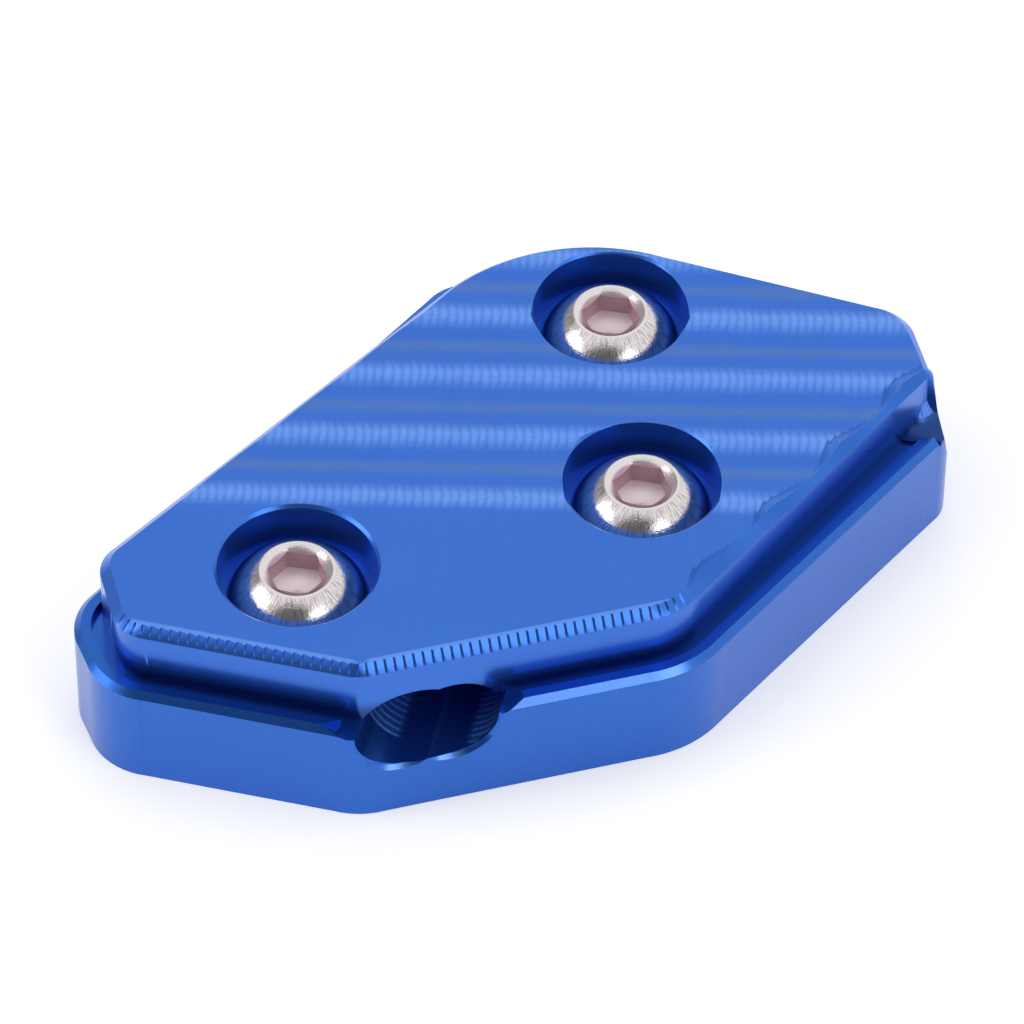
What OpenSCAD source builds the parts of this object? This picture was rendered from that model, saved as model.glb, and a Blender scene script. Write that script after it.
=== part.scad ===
// Foot enlarger for a motorcycle side stand.
// Two milled plates close round the foot of the stand like a clamp. A wide base plate
// stands on the ground, and a smaller top plate with a wave-milled face lies inside the
// rim of the base plate. Three button-head screws in round pockets pull the two
// together. The stand's foot goes in through the two-lobed mouth in the front edge.
// The plates lie flat: the ground is z = 0, and the screws go in from above.

/* [Plates] */
// Thickness of the base plate up to the joint face
base_t = 10.8; // [10:0.1:14]
// Thickness of the top plate above the joint face
top_t = 7; // [6.8:0.1:9]
// Height of the base plate's rim above the joint face
rim_h = 0.9; // [0.7:0.1:1.4]
// Width of the rim that stands round the top plate
rim_w = 1.65; // [1.4:0.05:1.9]
// Bevel on the rim's outer edge
rim_bevel = 0.65; // [0.3:0.05:0.65]
// Bevel round the top face
top_bevel = 1; // [0.6:0.1:1]
// Distance of the top plate's wall inside the base plate's wall along the front
wall_gap = 2.8; // [2.4:0.1:3]

/* [Outline of the base plate] */
// Middle of the round left corner, as x and y
heel = [-36.3, -19]; // [-40:0.1:40]
// Middle of the round corner at the rear left
crown = [-5.4, 23.7]; // [-40:0.1:40]
// Middle of the wide rear corner
rear = [5, 20.75]; // [-40:0.1:40]
// Middle of the round corner at the rear right
shoulder = [32.85, 16.3]; // [-40:0.1:40]
// Middle of the tight corner at the right
toe = [38.8, 10.2]; // [-40:0.1:40]
// Middle of the bend in the long front edge
bend = [10.35, -13.15]; // [-40:0.1:40]
// Middle of the round front corner beside the mouth
front = [-15, -24.8]; // [-40:0.1:40]
// Middle of the round corner at the front left
left = [-34.7, -21.5]; // [-40:0.1:40]
// Radius of the bend in the long front edge
bend_r = 12; // [10.5:0.5:14]

/* [Cove at the rear] */
// Radius of the cove that runs down the top plate's rear walls
cove_r = 2.8; // [2:0.1:2.8]
// Thickness of the skirt under the cove
skirt_t = 0.35; // [0.2:0.05:0.8]
// Length of the rim up the left side, before the cove takes its place
rim_run = 33.7; // [30:0.5:36]

/* [Flank at the right end] */
// How far the hollow flank reaches down below the joint
flank_h = 3.85; // [3:0.05:5]
// Depth of the flank at the joint
flank_in = 0.82; // [0.5:0.02:1]
// Radius of the flank's hollow
flank_r = 60; // [50:5:100]
// Turn of the flank from square to the long direction
flank_turn = 10; // [4:1:14]
// Width of the toe's foot beside the top plate's wall
foot_w = 1.4; // [1.2:0.05:1.7]
// Distance of the foot's front from the middle of the top plate's toe
foot_front = 0.55; // [0.3:0.05:0.8]

/* [Waves of the top face] */
// Distance from one crest to the next
wave_pitch = 8.35; // [7.5:0.05:9]
// Depth of the troughs
wave_d = 0.4; // [0.2:0.05:0.5]
// Place of the crest nearest the front
wave_y = -7.1; // [-9:0.1:-5]
// Number of troughs behind that crest
wave_n = 5; // [3:1:5]

/* [Screws] */
// Place of the screw at the left, as x and y
screw_left = [-21.15, -16.55]; // [-40:0.05:40]
// Place of the screw at the right
screw_right = [12.1, -4.1]; // [-40:0.05:40]
// Place of the screw at the rear
screw_rear = [8.75, 19.3]; // [-40:0.05:40]
// Diameter of the screws
screw_d = 8; // [7:0.5:8]
// Length of the screws under the head
screw_l = 12; // [10:0.5:12]
// Diameter of the button heads
head_d = 14; // [13:0.1:14.4]
// Height of the button heads
head_h = 4.4; // [3.8:0.1:4.5]
// Diameter of the flat top of the heads
head_flat_d = 7.4; // [6.8:0.1:8]
// Width across the flats of the hexagon sockets
key_w = 5; // [4:0.5:5]
// Depth of the hexagon sockets
key_d = 2.6; // [2:0.1:2.8]
// Depth of the cone between the flat top and the socket
key_sink = 0.4; // [0.3:0.05:0.5]
// Room between a head and the wall of its pocket
head_room = 0.8; // [0.6:0.05:1]
// Depth of the heads' tops under the top face
head_sunk = 0.65; // [0.5:0.05:0.8]
// Bevel on the pockets' edges
pocket_bevel = 0.3; // [0.1:0.05:0.5]
// Room round a screw in the top plate
screw_play = 0.5; // [0.2:0.1:0.6]
// Room between a screw's thread and its hole in the base plate
thread_play = 0.06; // [0.04:0.01:0.1]

/* [Channel for the stand's foot] */
// Distance of the mouth's middle from the front corner's bend
mouth_x = 4.65; // [4:0.05:5.5]
// Direction of the channel, counted from the x axis
channel_dir = 78; // [76:0.5:80]
// Depth of the channel from the mouth
channel_l = 30; // [24:1:34]
// Radius of the two grooves that form the channel in the base plate
groove_r = 4.7; // [4.2:0.1:4.9]
// Distance between the middles of those grooves
groove_gap = 3.3; // [2.8:0.1:3.8]
// Bevel round the mouth in the base plate
mouth_bevel = 0.4; // [0.1:0.1:0.5]
// Length of the ramps that lower the rim at both sides of the mouth
ramp_l = 2.1; // [1.5:0.1:2.5]

/* [Hidden] */
$fn = 96;

joint_z = base_t;
top_z = base_t + top_t;
pocket_d = head_d + 2 * head_room;
pocket_h = head_h + head_sunk;
// The round corners swell this much over the straight sides, so that the two cross.
swell = 0.02;

// Each corner of an outline is a circle: x, y and radius. The list goes round
// clockwise, as seen from above.
base_corners = [
    [heel.x, heel.y, 6.5],
    [crown.x, crown.y, 5],
    [rear.x, rear.y, 12],
    [shoulder.x, shoulder.y, 8],
    [toe.x, toe.y, 4],
    [bend.x, bend.y, bend_r],
    [front.x, front.y, 8],
    [left.x, left.y, 7]
];
// The top plate's front corners share their middles with the base plate's, and its
// rear runs in one wide arc.
top_corners = [
    [heel.x + 0.1, heel.y + 2.2, 4],
    [rear.x + 2.2, rear.y - 12.05, 20],
    [shoulder.x + 1.5, shoulder.y - 0.35, 5],
    [toe.x + 0.6, toe.y + 1.65, 1.2],
    [bend.x, bend.y, bend_r - wall_gap],
    [front.x, front.y, 8 - wall_gap],
    [left.x, left.y, 7 - wall_gap]
];

// Straight side from corner i to the next: start, end, direction and length.
function side(c, i) =
    let (a = c[i], b = c[(i + 1) % len(c)],
         v = [b.x - a.x, b.y - a.y],
         u = v / norm(v),
         s = (a.z - b.z) / norm(v),
         n = s * u + sqrt(1 - s * s) * [-u.y, u.x],
         p = [a.x, a.y] + a.z * n,
         q = [b.x, b.y] + b.z * n)
    [p, q, atan2(q.y - p.y, q.x - p.x), norm(q - p)];

// The same outline moved outwards by d.
function grow(c, d) = [for (k = c) [k.x, k.y, k.z + d]];

// Runs a section along the straight side i, with some more at both ends. In the
// section x points outwards from the wall and y up.
module along(c, i, z, more = 0) {
    s = side(c, i);
    translate([s[0].x, s[0].y, z]) rotate([0, 0, s[2]]) rotate([90, 0, 90])
        translate([0, 0, -more]) linear_extrude(s[3] + 2 * more) children();
}

// Turns a section round corner i, where the outline bends and a little beyond.
module around(c, i, z, more = 0) {
    from = side(c, i)[2] + 90 - more;
    to = side(c, (i + len(c) - 1) % len(c))[2] + 90 + more;
    translate([c[i].x, c[i].y, z]) rotate([0, 0, from])
        rotate_extrude(angle = (to - from + 720) % 360)
            translate([c[i].z + swell, 0]) children();
}

// The area between the middles of the corners and the straight sides.
module core(c) {
    polygon([for (i = [0:len(c) - 1]) each [[c[i].x, c[i].y], side(c, i)[0], side(c, i)[1]]]);
}

// A plate with upright walls.
module plate(c, h) {
    linear_extrude(h) core(c);
    for (k = c) translate([k.x, k.y, 0]) cylinder(r = k.z + swell, h = h);
}

// A plate whose upper edge has a bevel of width b.
module bevelled_plate(c, h, b) {
    difference() {
        linear_extrude(h) core(c);
        for (i = [0:len(c) - 1])
            along(c, i, h, 0.3) polygon([[-b - 0.1, 0.1], [0.1, 0.1], [0.1, -b - 0.1]]);
    }
    for (k = c) {
        r = k.z + swell;
        translate([k.x, k.y, 0]) rotate_extrude()
            polygon([[0, 0], [r, 0], [r, h - b], [r - b, h], [0, h]]);
    }
}

left_side = side(base_corners, 0);
toe_side = side(base_corners, 4);
mouth_side = side(base_corners, 5);
front_dir = mouth_side[2] + 180;
mouth = mouth_side[1] + mouth_x * [cos(front_dir), sin(front_dir)];
toe_top = top_corners[3];

// Part of the plan where the cove takes the place of the rim.
module rear_zone(extra) {
    u = [cos(left_side[2]), sin(left_side[2])];
    n = [-u.y, u.x];
    m = left_side[0] + (rim_run - extra) * u;
    v = [cos(toe_side[2]), sin(toe_side[2])];
    w = [-v.y, v.x];
    e = toe_side[0] + extra * v;
    polygon([m - 5 * n, m + 5 * n, m + 5 * n + 45 * u, [70, 45], e + 5 * w, e - 5 * w]);
}

// Section of the cove: it falls from the wall at x = 0 to the skirt's edge.
module cove_section(inner) {
    difference() {
        translate([-inner, 0]) square([inner + cove_r, skirt_t + cove_r]);
        translate([cove_r - swell, skirt_t + cove_r]) circle(r = cove_r);
    }
}

module rear_cove() {
    intersection() {
        plate(base_corners, skirt_t + cove_r);
        linear_extrude(skirt_t + cove_r) rear_zone(0);
        union() {
            for (i = [0:2]) along(top_corners, i, 0) cove_section(3);
            for (i = [1:2]) around(top_corners, i, 0, 6) cove_section(3);
            translate([-60, -60, 0]) cube([120, 120, skirt_t]);
        }
    }
}

// The cove's end runs round the toe and fades out in front of it.
module toe_cove() {
    intersection() {
        plate(base_corners, skirt_t + cove_r);
        translate([toe_top.x, toe_top.y, 0]) rotate_extrude()
            translate([toe_top.z + swell, 0]) cove_section(toe_top.z - 0.2);
    }
}

// Hollow flank across both plates at the right end. It leaves the base plate's wall
// below the joint and meets the top plate's wall under the bevel.
module flank_cut() {
    low = [base_corners[4].z, joint_z - flank_h];
    high = [low.x - flank_in, joint_z];
    v = high - low;
    middle = (low + high) / 2 + sqrt(flank_r * flank_r - v * v / 4) * [v.y, -v.x] / norm(v);
    translate([toe.x, toe.y, 0]) rotate([0, 0, flank_turn])
        translate([middle.x, 0, middle.y]) rotate([90, 0, 0])
            cylinder(r = flank_r, h = 60, center = true, $fn = 240);
}

// Foot of the toe: a cone that widens downwards, square to the depth at its front. The
// flank trims it, and its top lies just inside the bevel.
module toe_foot() {
    r = toe_top.z;
    intersection() {
        plate(base_corners, top_t);
        translate([toe_top.x, toe_top.y, 0]) difference() {
            rotate_extrude() polygon([
                [0, 0], [r + foot_w, 0], [r + 0.3 * foot_w, top_t - top_bevel - 0.5],
                [r - 0.1, top_t - top_bevel], [0, top_t - top_bevel]
            ]);
            translate([-10, -10 - foot_front, -1]) cube([20, 10, top_t + 2]);
        }
    }
}

// A round passage along the channel: y and z of its middle, and its radius.
module bore_in(y, z, r) {
    translate([mouth.x, mouth.y, z]) rotate([0, 0, channel_dir]) translate([-8, y, 0]) {
        rotate([0, 90, 0]) cylinder(r = r, h = channel_l - r + 8);
        translate([channel_l - r + 8, 0, 0]) sphere(r = r);
    }
}

module base_channel() {
    for (y = [-0.5, 0.5]) bore_in(y * groove_gap, joint_z, groove_r);
    // bevelled rim of the mouth, square to the front edge
    lobe = (groove_gap + 2 * groove_r) / 2 / cos(channel_dir - front_dir - 90) - groove_r;
    for (x = [-lobe, lobe])
        translate([mouth.x, mouth.y, joint_z]) rotate([0, 0, front_dir])
            translate([x, mouth_bevel, 0]) rotate([90, 0, 0])
                cylinder(r1 = groove_r, r2 = groove_r + mouth_bevel + 0.5, h = mouth_bevel + 0.5);
    // ramps that lower the rim
    half = lobe + groove_r + mouth_bevel + 0.2;
    run = ramp_l * (rim_h + 0.3) / rim_h;
    translate([mouth.x, mouth.y, joint_z]) rotate([0, 0, front_dir])
        translate([0, rim_w + 0.8, 0]) rotate([90, 0, 0]) linear_extrude(rim_w + 1.8)
            polygon([[-half, 0], [half, 0], [half + run, rim_h + 0.3], [-half - run, rim_h + 0.3]]);
}

module top_channel() {
    bore_in(1.6, joint_z - 3.1, 5.6);
    bore_in(-1.75, joint_z - 1.8, 4.1);
}

module at_screws() {
    for (p = [screw_left, screw_right, screw_rear]) translate([p.x, p.y, 0]) children();
}

module base_plate() {
    color([0.21, 0.4, 0.76]) difference() {
        bevelled_plate(base_corners, joint_z + rim_h, rim_bevel);
        translate([0, 0, joint_z]) {
            plate(grow(base_corners, -rim_w), rim_h + 1);
            linear_extrude(rim_h + 1) rear_zone(0.3);
            translate([toe_top.x, toe_top.y, 0])
                cylinder(r = toe_top.z + cove_r + 0.3, h = rim_h + 1);
        }
        flank_cut();
        base_channel();
        at_screws() translate([0, 0, -1]) cylinder(d = screw_d + 2 * thread_play, h = joint_z + 2);
    }
}

module top_plate() {
    wave_r = (wave_pitch * wave_pitch / 4 + wave_d * wave_d) / (2 * wave_d);
    color([0.26, 0.46, 0.85]) difference() {
        translate([0, 0, joint_z]) {
            bevelled_plate(top_corners, top_t, top_bevel);
            rear_cove();
            toe_cove();
            toe_foot();
        }
        flank_cut();
        for (i = [0:wave_n - 1])
            translate([0, wave_y + (i + 0.5) * wave_pitch, top_z + wave_r - wave_d])
                rotate([0, 90, 0]) cylinder(r = wave_r, h = 120, center = true, $fn = 200);
        at_screws() {
            translate([0, 0, joint_z - 1]) cylinder(d = screw_d + 2 * screw_play, h = top_t + 2);
            translate([0, 0, top_z - pocket_h]) cylinder(d = pocket_d, h = pocket_h + 1);
            translate([0, 0, top_z - pocket_bevel])
                cylinder(d1 = pocket_d, d2 = pocket_d + 2 * pocket_bevel + 1, h = pocket_bevel + 0.5);
        }
        top_channel();
    }
}

// Button-head screw, its head's underside at z = 0.
module screw(turn) {
    a = head_d / 2;
    b = head_flat_d / 2;
    low = 0.5;
    dome_z = (a * a + low * low - b * b - head_h * head_h) / (2 * (low - head_h));
    dome_r = norm([a, low - dome_z]);
    difference() {
        union() {
            rotate_extrude() intersection() {
                square([a, head_h]);
                translate([0, dome_z]) circle(r = dome_r, $fn = 200);
            }
            translate([0, 0, -screw_l + 1]) cylinder(d = screw_d, h = screw_l);
            translate([0, 0, -screw_l]) cylinder(d1 = screw_d - 2, d2 = screw_d, h = 1);
        }
        rotate([0, 0, turn]) translate([0, 0, head_h - key_d])
            cylinder(d = key_w / cos(30), h = key_d + 1, $fn = 6);
        translate([0, 0, head_h - key_d - 0.5]) cylinder(d1 = 0.5, d2 = key_w, h = 0.5);
        // cone that leads the key in, and goes on a little above the head
        sink_d = [key_w / cos(30) - 0.2, head_flat_d - 0.5];
        translate([0, 0, head_h - key_sink])
            cylinder(d1 = sink_d[0], d2 = sink_d[1] + (sink_d[1] - sink_d[0]) / 2, h = 1.5 * key_sink);
    }
}

module clamp_screws() {
    turns = [-8, -10, -9];
    places = [screw_left, screw_right, screw_rear];
    color([0.82, 0.77, 0.78]) for (i = [0:2])
        translate([places[i].x, places[i].y, top_z - pocket_h]) screw(turns[i]);
}

base_plate();
top_plate();
clamp_screws();
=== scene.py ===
# %% [markdown]
# # A clamp that widens the foot of a side stand
# The real object is two plates of blue anodised aluminium and three steel screws. The
# solids come from a imported CAD model, and every piece here keeps their place and size.
# The script adds what a mill, a lathe and an anodising bath leave behind: tool marks,
# colour, gloss and threads. Some colours are painted light: painted highlights on crests
# and edges, and painted shade in troughs, by the groove and in the screw sockets.

import math

import bpy
from mathutils import Matrix, Vector


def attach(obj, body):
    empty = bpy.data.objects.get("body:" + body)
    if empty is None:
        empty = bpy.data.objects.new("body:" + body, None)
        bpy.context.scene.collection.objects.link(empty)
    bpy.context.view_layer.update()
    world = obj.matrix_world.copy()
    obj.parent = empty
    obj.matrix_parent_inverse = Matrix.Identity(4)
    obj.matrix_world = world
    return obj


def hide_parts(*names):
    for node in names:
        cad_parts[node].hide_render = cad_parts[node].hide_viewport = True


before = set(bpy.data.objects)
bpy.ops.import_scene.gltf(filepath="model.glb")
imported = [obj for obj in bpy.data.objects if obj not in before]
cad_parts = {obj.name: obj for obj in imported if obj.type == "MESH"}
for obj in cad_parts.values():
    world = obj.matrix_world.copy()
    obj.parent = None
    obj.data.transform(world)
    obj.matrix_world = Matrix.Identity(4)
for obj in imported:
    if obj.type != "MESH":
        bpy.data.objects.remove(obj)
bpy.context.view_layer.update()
print("nodes:", sorted(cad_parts))

# %% [markdown]
# ## Numbers shared with the solids
# Tool marks have to sit where the cutter ran, so the script repeats the few sizes of the
# source that they depend on. Lengths are in millimetres here, because that is how a
# machinist reads a drawing, and they become metres only where a mesh is made. A corner is
# given by its x, its y and its radius.

# %% Sizes of the plates and screws
MM = 0.001
joint_z, top_z, bevel = 10.8, 17.8, 1.0
crest_y, crest_pitch = -7.1, 8.35
screw_places = [(-21.15, -16.55), (12.1, -4.1), (8.75, 19.3)]
screw_turns = [-8, -10, -9]
pocket_r = 7.8
mouth, channel_turn = (-9.13, -29.08), 78
channel_half, channel_end = 8.2, 29.0
left, front = (-34.7, -21.5, 4.2), (-15.0, -24.8, 5.2)
bend, toe = (10.35, -13.15, 9.2), (39.4, 11.85, 1.2)
print("crests at y =", [round(crest_y + i * crest_pitch, 2) for i in range(6)])


# %% Straight sides between the corners
def outward(a, b):
    """Normal of the straight side that touches two round corners."""
    run = Vector((b[0] - a[0], b[1] - a[1]))
    lean = (a[2] - b[2]) / run.length
    run.normalize()
    return run * lean + Vector((run.y, -run.x)) * math.sqrt(1 - lean * lean)


front_side, bend_side, toe_side = outward(left, front), outward(front, bend), outward(bend, toe)
for side in (front_side, bend_side, toe_side):
    print("side normal:", tuple(round(v, 3) for v in side))

# %% [markdown]
# ## Shader maths as plain sums
# A material is a network of nodes, and long networks are hard to read as code. One small
# class wraps a socket, so that a mask can be written as a sum, such as `1 - mask`. Each
# operator adds the Math node that does it.


# %% A wrapped socket
class Flow:
    def __init__(self, network, socket):
        self.network, self.socket = network, socket

    def maths(self, operation, *others):
        settings = {"operation": operation}
        return self.network.node("ShaderNodeMath", settings, [self, *others])

    def reflected(self, operation, first):
        settings = {"operation": operation}
        return self.network.node("ShaderNodeMath", settings, [first, self])

    def __add__(self, other):
        return self.maths("ADD", other)

    def __sub__(self, other):
        return self.maths("SUBTRACT", other)

    def __rsub__(self, other):
        return self.reflected("SUBTRACT", other)

    def __mul__(self, other):
        return self.maths("MULTIPLY", other)

    def __truediv__(self, other):
        return self.maths("DIVIDE", other)

    def __rtruediv__(self, other):
        return self.reflected("DIVIDE", other)

    def __pow__(self, other):
        return self.maths("POWER", other)

    def __rpow__(self, other):
        return self.reflected("POWER", other)

    __radd__, __rmul__ = __add__, __mul__


print("a wrapped socket knows +, -, *, / and **")

# %% [markdown]
# ## One method for every other node
# All nodes are made the same way: the kind, then the settings, then what goes into the
# sockets, which is either a number or the output of another node. The soft step is used
# most. It is how a mask fades from 0 to 1, because a hard edge would look printed.


# %% A network that grows
class Network:
    def __init__(self, tree):
        self.tree = tree

    def node(self, kind, settings, values, out=0):
        made = self.tree.nodes.new(kind)
        for name, value in settings.items():
            setattr(made, name, value)
        pairs = values.items() if isinstance(values, dict) else enumerate(values)
        for name, value in pairs:
            self.plug(made.inputs[name], value)
        return Flow(self, made.outputs[out])

    def plug(self, socket, value):
        if isinstance(value, Flow):
            self.tree.links.new(value.socket, socket)
        elif socket.type == "RGBA":
            socket.default_value = (*value, 1)
        else:
            socket.default_value = value

    def step(self, value, low, high):
        """0 below low, 1 above high, and smooth between. High may lie below low."""
        return self.node(
            "ShaderNodeMapRange",
            {"interpolation_type": "SMOOTHSTEP"},
            {"Value": value, "From Min": low, "From Max": high},
        )


print("network helper ready")

# %% [markdown]
# ## A finish
# A finish is a material with its network. Place and direction on the piece are the two
# things that every mask starts from. Colours go through Mix nodes, because a Math node
# would turn them grey, and relief goes through a Bump node, which tilts the light.


# %% A finish for one material
class Finish(Network):
    def __init__(self, name):
        self.material = bpy.data.materials.new(name)
        self.material.use_nodes = True
        super().__init__(self.material.node_tree)
        self.shader = self.tree.nodes["Principled BSDF"]
        self.place = self.node("ShaderNodeTexCoord", {}, {}, "Object")
        self.facing = self.node("ShaderNodeTexCoord", {}, {}, "Normal")

    def blend(self, share, first, second):
        """Colour that goes from first to second as share goes from 0 to 1."""
        values = {0: share, 6: first, 7: second}
        return self.node("ShaderNodeMix", {"data_type": "RGBA"}, values, 2)

    def axes(self, vector, scale=1.0):
        parts = [self.node("ShaderNodeSeparateXYZ", {}, [vector], i) for i in range(3)]
        return [part * scale for part in parts] if scale != 1.0 else parts

    def noise(self, scale, stretch=(1, 1, 1), detail=2.0):
        """Cloud noise. scale counts the clouds in a millimetre."""
        spot = self.node(
            "ShaderNodeVectorMath",
            {"operation": "MULTIPLY"},
            [self.place, tuple(scale * s / MM for s in stretch)],
        )
        values = {"Vector": spot, "Scale": 1.0, "Detail": detail}
        return self.node("ShaderNodeTexNoise", {}, values)

    def distance(self, x, y, middle):
        """Distance in the plan from a middle, in mm."""
        return ((x - middle[0]) ** 2 + (y - middle[1]) ** 2).maths("SQRT")

    def dress(self, **sockets):
        for name, value in sockets.items():
            self.plug(self.shader.inputs[name.replace("_", " ")], value)

    def relief(self, height, depth, distance=0.03):
        """A bump that lifts the surface by height, in shares of distance in mm."""
        values = {"Strength": depth, "Distance": distance * MM, "Height": height}
        self.dress(Normal=self.node("ShaderNodeBump", {}, values))


print("finish helper ready")

# %% [markdown]
# ## Blue anodising
# Anodising grows a clear, hard oxide on the aluminium, and the dye sits in it. So the
# metal still shines, but every reflection is coloured blue. A metallic shader with a blue
# base gives that, and a thin clear coat on top gives the pale sheen at low angles.

# %% Colours of the dye, and blues for painted light and shade
# deep_blue also paints shade and bright_blue paints highlights below. The last three blues are
# painted shade and shadow.
deep_blue = (0.014, 0.122, 0.530)
wall_blue = (0.032, 0.148, 0.610)
face_blue = (0.044, 0.187, 0.740)
bright_blue = (0.160, 0.370, 1.000)
trough_shade_blue = (0.100, 0.225, 0.560)
ledge_shadow_blue = (0.004, 0.050, 0.250)
groove_shade_blue = (0.002, 0.016, 0.090)
print("seven blues from one dye bath")

# %% [markdown]
# ## The milled base plate
# The base plate was only milled. Its walls carry faint upright lines from the side of an
# end mill, and the bevel on its rim is scratched. To the right of the mouth the bevel gets
# a painted highlight mixed with its scratches, and along the right end it stays dark.

# %% Masks and noises of the base plate
base_finish = Finish("blue_anodised_milled")
f = base_finish
x, y, z = f.axes(f.place, 1 / MM)
nx, _, nz = f.axes(f.facing)
upright = 1 - f.step(nz.maths("ABSOLUTE"), 0.1, 0.4)
rim_bevel = f.step(nz, 0.45, 0.6) * (1 - f.step(nz, 0.8, 0.95))
flutes = f.noise(1.0, (2.2, 2.2, 0.02), 3.0)
scratches = f.noise(1.0, (7.0, 7.0, 0.6))
cloud = f.noise(0.08)
grain = f.noise(6.0)
print("masks of the base ready")

# %% [markdown]
# ## Rings in the channel
# The channel for the stand's foot was cut in steps, and each step left a ring on its
# wall. The rings are spaced along the channel's own axis, so they show in both plates as
# one set. The mask keeps them off the outer walls, which lie less far into the plate.

# %% Rings that the channel's cutter left
ring_gap = 0.8


def inward(x, y, corner, normal, inset):
    """Distance into the plate from its straight side, less an inset."""
    edge = corner[0] * normal.x + corner[1] * normal.y + corner[2] - inset
    return edge - (x * normal.x + y * normal.y)


def cutter_rings(f, x, y, nz, wall):
    """Share of ring mark and share of channel wall, from the run along the channel."""
    turn = math.radians(channel_turn)
    dx, dy = x - mouth[0], y - mouth[1]
    along = dx * math.cos(turn) + dy * math.sin(turn)
    across = (dx * math.sin(turn) - dy * math.cos(turn)).maths("ABSOLUTE")
    from_front = inward(x, y, front, front_side, wall)
    depth = from_front.maths("MINIMUM", inward(x, y, front, bend_side, wall))
    inside = f.step(depth, 0.5, 0.8) * (1 - f.step(across, channel_half, channel_half + 0.4))
    inside = inside * f.step(along, 0.0, 0.3)
    inside = inside * (1 - f.step(along, channel_end, channel_end + 1.0))
    ring = (along / ring_gap).maths("PINGPONG", 0.5) * 2
    return f.step(ring, 0.45, 0.95), inside * (1 - f.step(nz, 0.9, 0.97))


rim_reach = -2.8
ring, inside = cutter_rings(f, x, y, nz, rim_reach)
below_joint = 1 - f.step(z, joint_z - 0.1, joint_z + 0.1)
in_channel = inside * below_joint * f.step(z, 0.5, 1.0)
print("one ring every", ring_gap, "mm in the channel")

# %% Colour, gloss and relief of the base
colour = f.blend(cloud * 0.5 + flutes * 0.3, deep_blue, wall_blue)
# Painted highlight: the rim bevel is made bright blue where it faces to the right of the mouth,
# mixed with its real scratches.
painted_highlight_side = f.step(nx, -0.05, 0.1) * (1 - 0.9 * f.step(nx, 0.34, 0.42))
colour = f.blend(rim_bevel * painted_highlight_side * (0.35 + 0.5 * scratches), colour, bright_blue)
colour = f.blend(in_channel * ring, colour, bright_blue)
f.dress(
    Base_Color=colour,
    Metallic=0.88 - 0.25 * in_channel,
    Roughness=0.19 + 0.08 * grain + 0.05 * upright + 0.14 * rim_bevel * scratches,
    Coat_Weight=0.2,
    Coat_Roughness=0.08,
)
marks = flutes * upright + 0.15 * grain + 0.5 * scratches * rim_bevel
f.relief(0.3 * marks + 2.5 * in_channel * ring, 0.4)
print("base finish:", len(f.tree.nodes), "nodes")

# %% [markdown]
# ## The wave-milled top
# The top face was cut by a ball-nosed cutter that ran across in long passes. The passes
# leave six crests, and along each crest the cutter's steps show as a row of small cells.
# The crests and cells get a painted highlight, and the troughs between them a painted shade.
# Each cell leans a little and no two are quite alike. The flat strip at the front
# carries straight grain. All of it follows from the place on the plate, so it is worked
# out from the coordinates, and a noise shifts the coordinates a little first.

# %% Masks on the top plate
top_finish = Finish("blue_anodised_wave_milled")
f = top_finish
x, y, z = f.axes(f.place, 1 / MM)
nx, _, nz = f.axes(f.facing)
on_face = f.step(nz, 0.93, 0.97) * f.step(z, top_z - 0.9, top_z - 0.7)
on_bevel = f.step(nz, 0.5, 0.6) * (1 - f.step(nz, 0.8, 0.9)) * f.step(z, 16.6, 16.75)
upright = 1 - f.step(nz.maths("ABSOLUTE"), 0.1, 0.4)
to_front = inward(x, y, front, front_side, bevel)
to_bend = inward(x, y, front, bend_side, bevel)
to_toe = inward(x, y, bend, toe_side, bevel)
print("masks of face, bevel and walls ready")

# %% Cells and lines of the cutter
cell_pitch, line_pitch = 0.875, 0.36
wander = f.noise(0.35, (1, 0.5, 0))
patchy = f.noise(0.9, (1.0, 1.0, 0))
lean = (y - crest_y).maths("PINGPONG", crest_pitch / 2)
column = (x / cell_pitch + 0.9 * wander + 0.12 * lean).maths("FRACT")
cell = f.step(column, 0.0, 0.25) * (1 - f.step(column, 0.50, 0.95))
crest = lean + 0.9 * (wander - 0.5)
behind = f.step(y, crest_y - 2.2, crest_y - 1.2)
band = (1 - f.step(crest, 0.5, 2.15)) * behind
core = (1 - f.step(crest, 0.1, 1.2)) * behind
trough = f.step(crest, 2.9, 4.0) * behind
line = f.step((y / line_pitch + 0.5 * wander).maths("PINGPONG", 0.5) * 2, 0.2, 0.8)
print("cells every", cell_pitch, "mm")

# %% Colour of the crests and troughs, with painted highlight and painted shade
strands = f.noise(1.0, (5.0, 0.12, 1.0), 3.0)
cloud = f.noise(0.07, (0.6, 1.6, 1))
colour = f.blend(cloud * 0.35 + strands * 0.25, face_blue, wall_blue)
# Painted shade: the troughs between the crests are made a duller blue.
colour = f.blend(on_face * trough * 0.6, colour, trough_shade_blue)
# Painted highlight: the crest bands and their cells are made a brighter blue; the cells also
# get real relief below.
crest_highlight = band * 0.35 + core * 0.25 + band * cell * (0.2 + 0.5 * patchy) * (0.6 + 0.4 * line)
colour = f.blend(on_face * crest_highlight * 0.95, colour, bright_blue)
print("crests laid")

# %% [markdown]
# ## Edges of the top plate
# Along the right end the cutter bit wider into each crest, so a lobe with a fine ledge lies
# at the end of every band. Each lobe gets a painted shade and each ledge a painted shadow
# line, and the bevel along the right end is painted darker too. The front edges of the face
# get a painted highlight, where the saw-teeth begin. The walls get a painted shade towards
# the groove above the base's rim.

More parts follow.
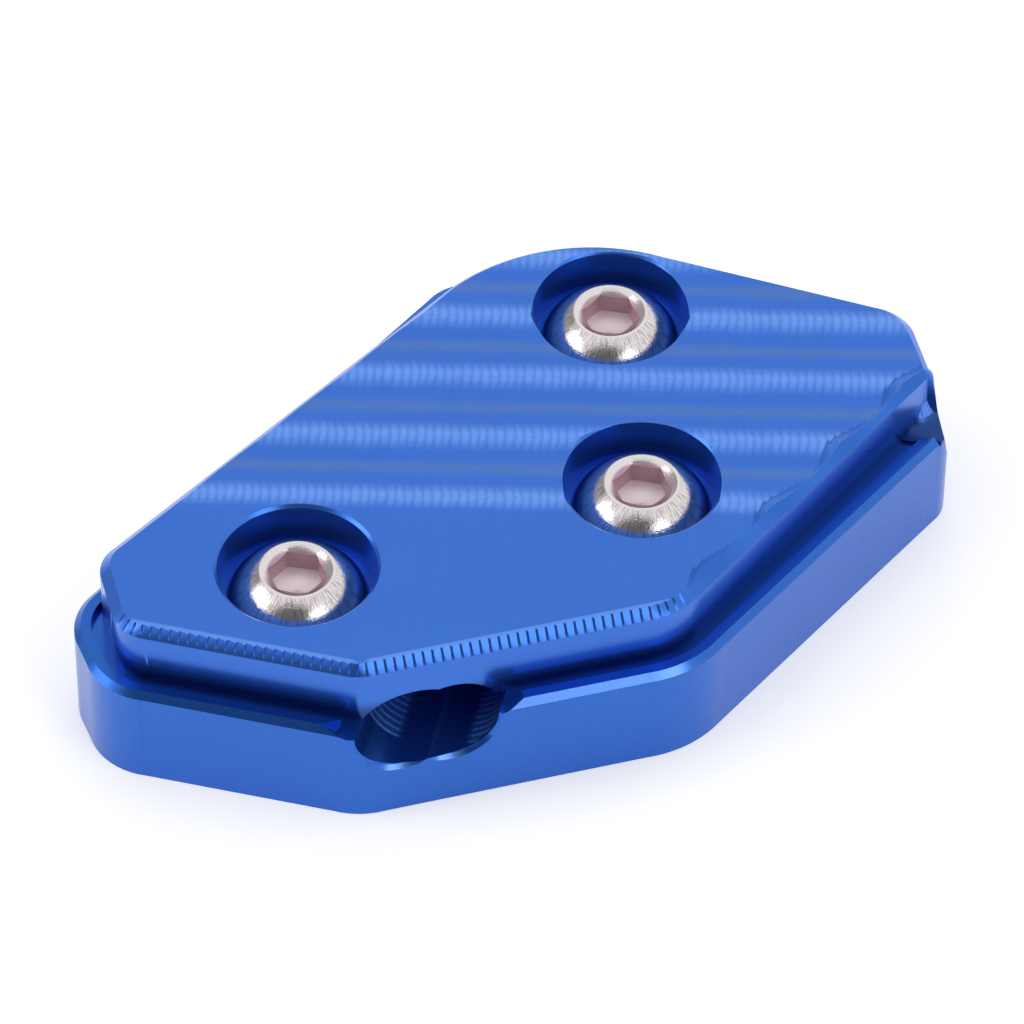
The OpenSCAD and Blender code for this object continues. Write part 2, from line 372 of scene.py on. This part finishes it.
# %% Painted shade on lobes and walls, painted highlight on the front edges
ridge = f.step(lean, crest_pitch / 2, 0.2)
lobe_edge = to_toe - 1.15 * ridge + 0.22 * cell
lobe = on_face * (1 - f.step(lobe_edge, -0.15, 0.1)) * f.step(to_toe, -0.3, 0.0)
ledge_shadow_line = lobe * f.step(lobe_edge, -0.45, -0.1) * ridge
# Painted shade: the lobe at the right end of each band is made deeper blue.
colour = f.blend(lobe * 0.6, colour, deep_blue)
# Painted shade: the bevel along the right end is made darker where it faces that way, most at
# the crests.
toe_bevel_shade = on_bevel * f.step(nx, 0.38, 0.44) * (1 - f.step(to_toe, 0.0, 0.2))
colour = f.blend(toe_bevel_shade * (0.15 + 0.45 * ridge), colour, deep_blue)
# Painted shadow: a dark line along the fine ledge of each lobe.
colour = f.blend(ledge_shadow_line * 0.45, colour, ledge_shadow_blue)
# Painted highlight: a brighter blue band along the front edges of the face.
front_edge_highlight = on_face * (1 - f.step(to_front, 0.2, 0.5)) * f.step(x * -1, 14.5, 15.5)
bend_edge_highlight = on_face * (1 - f.step(to_bend, 0.2, 0.42)) * f.step(x, -14.5, -13.5)
colour = f.blend((front_edge_highlight + bend_edge_highlight) * 0.7, colour, bright_blue)
colour = f.blend(upright * 0.6, colour, wall_blue)
nearest = to_front.maths("MINIMUM", to_bend).maths("MINIMUM", to_toe)
outer = 1 - f.step(nearest, -0.5, -0.2)
print("lobes, edges and walls laid")

# %% [markdown]
# ## Foot of the toe
# At the right end of the top plate a small cone runs down to the base. The cutter went
# round it in short steps, and each one left a shallow scallop. They are counted by the
# bearing round the cone's own middle. The lower part of the foot gets a painted highlight
# that is strongest on the scallops.

# %% Scallops on the foot
scallop_turn, foot_reach = 0.30, 3.0
from_toe = f.distance(x, y, toe)
bearing = (y - toe[1]).maths("ARCTAN2", x - toe[0])
on_foot = f.step(nz, 0.06, 0.14) * (1 - f.step(nz, 0.62, 0.68))
on_foot = on_foot * (1 - f.step(from_toe, foot_reach, foot_reach + 0.1))
on_foot = on_foot * f.step(from_toe, 1.22, 1.3) * (1 - f.step(z, 16.4, 16.6))
scallop = (bearing / scallop_turn).maths("PINGPONG", 0.5) * 2
# Painted shade: the outer walls are made nearly black towards the groove above the base's rim,
# except on the foot.
low = outer * (1 - on_foot) * (1 - f.step(z, 11.4, 13.4))
colour = f.blend(low * 0.75, colour, groove_shade_blue)
# Painted highlight: the lower part of the foot is made bright blue, most on the scallops.
foot_highlight = on_foot * (0.2 + 0.6 * scallop) * (1 - f.step(z, 14.2, 15.6))
colour = f.blend(foot_highlight, colour, bright_blue)
print("a scallop every", round(math.degrees(scallop_turn)), "degrees")

# %% Gloss and relief of the top
flutes = f.noise(1.0, (2.2, 2.2, 0.02))
mouth_ring, inside = cutter_rings(f, x, y, nz, 0.0)
in_channel = inside * (1 - f.step(z, 15.5, 15.8))
for middle in screw_places:
    off = f.distance(x, y, middle)
    in_channel = in_channel * f.step(off, pocket_r + 0.2, pocket_r + 0.4)
colour = f.blend(in_channel * mouth_ring * 0.9, colour, bright_blue)
f.dress(
    Base_Color=colour,
    Metallic=0.82 - 0.2 * in_channel,
    Roughness=0.29 - 0.07 * upright + 0.10 * strands * on_face + 0.15 * on_foot,
    Coat_Weight=0.2,
    Coat_Roughness=0.1,
)
marks = on_face * (strands * 0.3 + band * (cell * 0.9 + line * 0.4)) + 0.2 * upright * flutes
f.relief(marks + 1.5 * in_channel * mouth_ring + 4.0 * on_foot * scallop, 0.35)
print("top finish:", len(f.tree.nodes), "nodes")

# %% [markdown]
# ## Steel of the screws
# The button heads were turned, so fine rings run round each head, and short scratches run
# across them. The steel is polished and has a faint warm tint. The socket walls are painted
# darker and pinker as shade in the recess, and the socket floor is a lighter pink. Rings and
# scratches are noises that vary with the distance and the bearing from the screw's own axis,
# worked out for the nearest of the three screws.

# %% Distance and bearing from the nearest screw
steel_finish = Finish("bright_turned_steel")
f = steel_finish
x, y, z = f.axes(f.place, 1 / MM)
radius, angle = None, None
for middle in screw_places:
    here = f.distance(x, y, middle)
    radius = here if radius is None else radius.maths("MINIMUM", here)
    turned = (y - middle[1]).maths("ARCTAN2", x - middle[0]) * (1 - f.step(here, 7.2, 7.4))
    angle = turned if angle is None else angle + turned
print("radius and bearing follow the nearest screw")


# %% Rings, scratches and grain of the steel
def turned_noise(*spot):
    """Noise that runs round the screw's axis."""
    place = f.node("ShaderNodeCombineXYZ", {}, spot)
    return f.node("ShaderNodeTexNoise", {}, {"Vector": place, "Scale": 1.0, "Detail": 3.0})


rings = turned_noise(radius * 9, 0.0, z * 9)
rays = turned_noise(radius * 1.1, angle * 24, 0.0)
speckle = f.noise(5.0, detail=3.0)
below_rim = 1 - f.step(z, 16.75, 16.95)
in_socket = (1 - f.step(radius, 2.95, 3.1)) * below_rim * f.step(z, 14.0, 14.3)
socket_floor = in_socket * (1 - f.step(z, 14.55, 14.65))
on_dome = f.step(radius, 3.7, 3.8) * f.step(z, 12.6, 12.7)
print("masks of dome and socket ready")

# %% Colour, gloss and relief of the steel
colour = f.blend(speckle, (0.74, 0.67, 0.68), (0.92, 0.87, 0.88))
colour = f.blend(on_dome * f.step(rays, 0.42, 0.7) * 0.7, colour, (0.33, 0.30, 0.29))
# Painted shade: the socket walls are made darker and pinker than the head. The socket floor is
# made a lighter pink.
colour = f.blend(in_socket * 0.9, colour, (0.50, 0.31, 0.39))
colour = f.blend(socket_floor, colour, (0.97, 0.84, 0.90))
f.dress(
    Base_Color=colour,
    Metallic=1.0 - 0.45 * in_socket,
    Roughness=0.07 + 0.07 * rings + 0.10 * speckle + 0.2 * in_socket,
)
f.relief(0.4 * rings + 0.55 * rays * on_dome + 1.5 * speckle, 0.40)
print("steel finish:", len(f.tree.nodes), "nodes")

# %% [markdown]
# ## Button-head screws
# A real button-head screw is forged, its socket is pressed in, and its thread is rolled.
# In a mesh all three are rings of points round one axis. Each ring is a list of radius and
# height for every angle, and the skin between two rings is made of four-sided faces. A
# socket ring has the radius of a hexagon, and a thread ring has a radius of its own at
# every angle. One skin from the tip to the socket floor gives a closed screw.

# %% Sizes of one screw
around = 96
pitch, crest_r, root_r = 1.25, 3.98, 3.30
tip_z, under_z, head_top = 0.75, 12.75, 17.15
head_r, dome_r, dome_z = 7.0, 7.459, 10.673
dome_from, dome_to, dome_parts = 6.95, 3.78, 15
socket_half, socket_z, axis_r = 2.5, 14.53, 0.02
print("thread of", pitch, "mm on", around, "points a ring")


# %% Socket and thread
def level(r, z):
    """A round ring at one height."""
    return [(r, z)] * around


def hexagon():
    """Radius of the socket at each angle. The first corner points at angle 0."""
    radii = []
    for i in range(around):
        off = (360 * i / around) % 60 - 30
        radii.append(socket_half / math.cos(math.radians(off)))
    return radii


def thread_rings():
    """Rings up the shank. The groove climbs one pitch a turn and fades at both ends."""
    rings, steps, length = [], 9, under_z - tip_z
    count = int(length / pitch * steps)
    for k in range(count + 1):
        z = tip_z + length * k / count
        fade = max(0.0, min(1.0, (z - tip_z) / 0.5, (under_z - 0.6 - z) / 0.8))
        point_r = crest_r - max(0.0, 0.9 - (z - tip_z))
        ring = []
        for i in range(around):
            phase = (z / pitch - i / around) % 1.0
            flank = min(1.0, max(0.0, (abs(phase - 0.5) * 2 - 0.12) / 0.75))
            ring.append((min(crest_r - (crest_r - root_r) * flank * fade, point_r), z))
        rings.append(ring)
    return rings


print("shank has", len(thread_rings()), "rings")


# %% Rings of one screw
def screw_rings():
    """All rings from the middle of the tip to the middle of the socket floor."""
    rings = [level(r, tip_z) for r in (axis_r, 1.6, 2.9)] + thread_rings()
    rings += [level(r, under_z) for r in (4.0, 4.6, 6.6)]
    rings += [level(6.9, under_z + 0.06), level(head_r, under_z + 0.2)]
    rings += [level(head_r, 13.05), level(6.985, 13.2)]
    for k in range(1, dome_parts + 1):
        r = dome_from + (dome_to - dome_from) * k / dome_parts
        rings.append(level(r, dome_z + math.sqrt(dome_r**2 - r * r)))
    rings += [level(3.70, head_top - 0.012), level(3.62, head_top)]
    rings += [level(3.48, head_top), level(3.43, head_top - 0.03)]
    across = hexagon()
    rings.append([(h + 0.03, head_top - 0.6 * (3.45 - h - 0.03)) for h in across])
    rings.append([(h, head_top - 0.6 * (3.45 - h) - 0.03) for h in across])
    rings += [[(h, z) for h in across] for z in (16.0, 15.2, 14.62)]
    rings.append([(h - 0.06, 14.56) for h in across])
    rings += [level(r, socket_z - 0.16 * (2.1 - r)) for r in (2.1, 1.2, axis_r)]
    return rings


print("one screw has", len(screw_rings()), "rings of", around, "points")

# %% [markdown]
# ## One object for three equal screws
# The three screws differ only in place and in how far each was turned when it came tight.
# So their points are turned and moved, and all three go into one mesh. It stands for the
# solid screws, which are hidden.


# %% Build the screws
def finished_object(name, points, faces, sharp, finish):
    """Object from points in mm, with edges sharper than so many degrees kept."""
    mesh = bpy.data.meshes.new(name)
    mesh.from_pydata([tuple(v * MM for v in p) for p in points], [], faces)
    mesh.set_sharp_from_angle(angle=math.radians(sharp))
    mesh.materials.append(finish.material)
    made = bpy.data.objects.new(name, mesh)
    bpy.context.scene.collection.objects.link(made)
    print(name, "has", len(points), "points and", len(faces), "faces")
    return made


points, faces = [], []
rings = screw_rings()
for (px, py), turn in zip(screw_places, screw_turns):
    first = len(points)
    for ring in rings:
        for i, (r, z) in enumerate(ring):
            way = math.radians(turn + 360 * i / around)
            points.append((px + r * math.cos(way), py + r * math.sin(way), z))
    for k in range(len(rings) - 1):
        a, b = first + k * around, first + (k + 1) * around
        for i in range(around):
            j = (i + 1) % around
            faces.append((a + i, a + j, b + j, b + i))
    last = first + (len(rings) - 1) * around
    faces.append([first + around - 1 - i for i in range(around)])
    faces.append([last + i for i in range(around)])

screws = finished_object("button_head_screws", points, faces, 38, steel_finish)
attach(screws, "root")
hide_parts("clamp_screws")

# %% [markdown]
# ## Saw-teeth along the front bevel
# The bevel over the mouth was cut with the same ball-nosed cutter in short side steps.
# Every step left a shallow facet that ends in a small ledge, so the edge of the top face
# looks like a fine saw. A bump can't change an outline, so the facets are real mesh: a
# closed strip whose back lies in the plate, and whose front follows the solid's bevel and
# stands up to a fifth of a millimetre proud.

# %% Path of the strip
tooth_step, tooth, small_tooth = 0.94, 0.19, 0.11
fade_left, fade_right = 2.0, 3.0
lead_in = 0.95


def arc(corner, start, end, parts):
    """Points on a round corner, each with its outward normal."""
    made = []
    for i in range(parts + 1):
        turn = start + (end - start) * i / parts
        normal = Vector((math.cos(turn), math.sin(turn)))
        made.append((Vector(corner[:2]) + normal * corner[2], normal))
    return made


to_left, to_right, to_end = (math.atan2(n.y, n.x) for n in (front_side, bend_side, toe_side))
path = arc(left, to_left - lead_in, to_left, 24)
path += arc(front, to_left, to_right, 12)
path += arc(bend, to_right, to_end, 24)
reach = [0.0]
for (a, _), (b, _) in zip(path, path[1:]):
    reach.append(reach[-1] + (b - a).length)
print("strip is", round(reach[-1], 1), "mm long")


# %% How proud the strip stands along its run
shares = (0.0, 0.04, 0.12, 0.25, 0.4, 0.55, 0.68, 0.75, 0.8, 0.88, 0.96)
cuts = [(k + u) * tooth_step for k in range(int(reach[-1] / tooth_step)) for u in shares]
mirror_at = next(r for r, (_, n) in zip(reach, path) if n.x > 0)


def at(run):
    """Point and normal of the path after a run of so many millimetres."""
    i = max(k for k in range(len(reach) - 1) if reach[k] <= run)
    share = (run - reach[i]) / max(1e-6, reach[i + 1] - reach[i])
    (a, a_normal), (b, b_normal) = path[i], path[i + 1]
    return a.lerp(b, share), a_normal.lerp(b_normal, share).normalized()


def proud_at(run):
    """Height of the saw at a run. The teeth turn round past the front corner."""
    share = (run / tooth_step) % 1.0
    if run > mirror_at:
        height = small_tooth
        slope = 1.0 - share / 0.75 if share < 0.75 else (share - 0.75) / 0.25
    else:
        height = tooth
        slope = share / 0.88 if share < 0.88 else (1.0 - share) / 0.12
    fade = min(1.0, run / fade_left, (reach[-1] - run) / fade_right)
    return height * max(0.0, slope) * fade


print("teeth stand", tooth, "mm proud at most")

# %% Sections of the strip, laid on the bevel
rows = 7
loop = rows + 2
points, faces = [], []
for run in cuts:
    point, normal = at(run)
    proud = proud_at(run)
    for j in range(rows):
        t = j / (rows - 1)
        swell = proud * math.sin(t * math.pi / 2) ** 0.7
        out = 0.03 - bevel * t + swell * (0.7 + 0.7 * t**6)
        up = top_z - bevel * (1 - t) + 0.7 * swell * (1 - t**6)
        points.append((*(point + normal * out), min(up, top_z)))
    back = point - normal * (bevel + 0.05)
    points += [(*back, top_z - 0.002), (*back, top_z - bevel)]
for c in range(len(cuts) - 1):
    a = c * loop
    for j in range(loop):
        k = (j + 1) % loop
        faces.append((a + j, a + loop + j, a + loop + k, a + k))
faces.append(list(range(loop)))
faces.append(list(range(len(points) - 1, len(points) - loop - 1, -1)))

strip = finished_object("front_bevel_teeth", points, faces, 24, top_finish)
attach(strip, "root")

# %% [markdown]
# ## Finishes on the solids
# The plates' solids already have the true shape, so they stay and only take the finishes.

# %% Dress the plates
for name, finish in (("base_plate", base_finish), ("top_plate", top_finish)):
    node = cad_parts[name]
    node.data.materials.clear()
    node.data.materials.append(finish.material)
    print(name, "has", len(node.data.polygons), "faces")

# %% [markdown]
# ## Floor
# A product photograph like this is taken on a white sweep, which is one pale sheet under
# and behind the object. It glows a little by itself, so that it stays white away from the
# lights. It lies a hair below the plate, because two faces in one plane would flicker.

# %% White sweep
floor_half, floor_drop = 3.0, 0.00003
floor_finish = Finish("white_sweep")
floor_finish.dress(
    Base_Color=(0.9, 0.9, 0.9),
    Roughness=0.9,
    Emission_Color=(1.0, 1.0, 1.0),
    Emission_Strength=0.36,
)
corners = [(floor_half * i, floor_half * j, 0) for i, j in ((-1, -1), (1, -1), (1, 1), (-1, 1))]
floor_mesh = bpy.data.meshes.new("floor")
floor_mesh.from_pydata(corners, [], [(0, 1, 2, 3)])
floor_mesh.materials.append(floor_finish.material)
floor = bpy.data.objects.new("floor", floor_mesh)
bpy.context.scene.collection.objects.link(floor)
floor.location = (0, 0, -floor_drop)
print("floor is", 2 * floor_half, "m wide")

# %% [markdown]
# ## The room as the metal sees it
# Metal shows only what it reflects, so the light is planned as reflections. The sky is
# one soft white, with two darker places. One lies behind the camera, where a studio is
# dark: it shows in the steep bevels and in the front of each screw head. The other is low
# at the rear left, and it draws the left edge of each socket.

# %% Soft sky with two darker places
sky_strength = 0.90
sky = bpy.data.worlds.new("studio")
bpy.context.scene.world = sky
sky.use_nodes = True
room = Network(sky.node_tree)
direction = room.node("ShaderNodeTexCoord", {}, {}, "Generated")


def near(towards, far, close, depth):
    """Strength that falls by depth where the sky lies near a direction."""
    aim = tuple(Vector(towards).normalized())
    dot = room.node(
        "ShaderNodeVectorMath", {"operation": "DOT_PRODUCT"}, [direction, aim], "Value"
    )
    return 1 - depth * room.step(dot, far, close)


behind_camera = near((-0.08, -1.0, 0.30), 0.62, 0.78, 0.84)
rear_left = near((-0.70, 0.60, 0.28), 0.80, 0.96, 0.6)
back = sky.node_tree.nodes["Background"]
room.plug(back.inputs["Strength"], sky_strength * behind_camera * rear_left)
room.plug(back.inputs["Color"], (1, 1, 1))
print("sky ready")

# %% [markdown]
# ## Two soft boxes
# One soft box at each side makes the white spots on the screw heads and brightens the
# edges that lean towards it. Each one looks straight at the object.

# %% Soft boxes
box_distance = 0.7


def soft_box(name, direction, side, power):
    lamp = bpy.data.lights.new(name, "AREA")
    lamp.shape, lamp.size, lamp.size_y = "RECTANGLE", side, side
    lamp.energy = power
    holder = bpy.data.objects.new(name, lamp)
    bpy.context.scene.collection.objects.link(holder)
    spot = Vector(direction).normalized() * box_distance
    holder.location = spot
    holder.rotation_euler = spot.to_track_quat("Z", "Y").to_euler()
    print(name, "at", [round(v, 2) for v in spot])


soft_box("soft_box_right", (0.53, -0.62, 0.56), 0.30, 0.55)
soft_box("soft_box_left", (-0.86, -0.08, 0.50), 0.35, 0.8)

# %% [markdown]
# ## Camera
# The camera was fitted to the three round pockets, whose places and size are known. It
# stands far off with a long lens, as is usual for small products, so the far end of the
# plate is hardly smaller than the near end.

# %% Camera of the photograph
image_px, focal_px, sensor_mm = 1024, 6747.755, 36.0
camera_data = bpy.data.cameras.new("camera")
camera = bpy.data.objects.new("camera", camera_data)
bpy.context.scene.collection.objects.link(camera)
bpy.context.scene.camera = camera
right = Vector((0.999903, 0.013962, 0.0))
up = Vector((-0.010222, 0.732033, 0.681194))
ahead = Vector((-0.009511, 0.681128, -0.732104))
roll = math.radians(0.522)
image_x = right * math.cos(roll) + up * math.sin(roll)
image_y = -right * math.sin(roll) + up * math.cos(roll)
turn = Matrix((image_x, image_y, -ahead)).transposed().to_4x4()
camera.matrix_world = Matrix.Translation(Vector((5.714, -456.362, 498.609)) * MM) @ turn
camera_data.sensor_width = sensor_mm
camera_data.lens = focal_px / image_px * sensor_mm
camera_data.clip_start, camera_data.clip_end = 0.01, 20
bpy.context.scene.view_settings.view_transform = "Standard"
print("lens", round(camera_data.lens, 1), "mm")
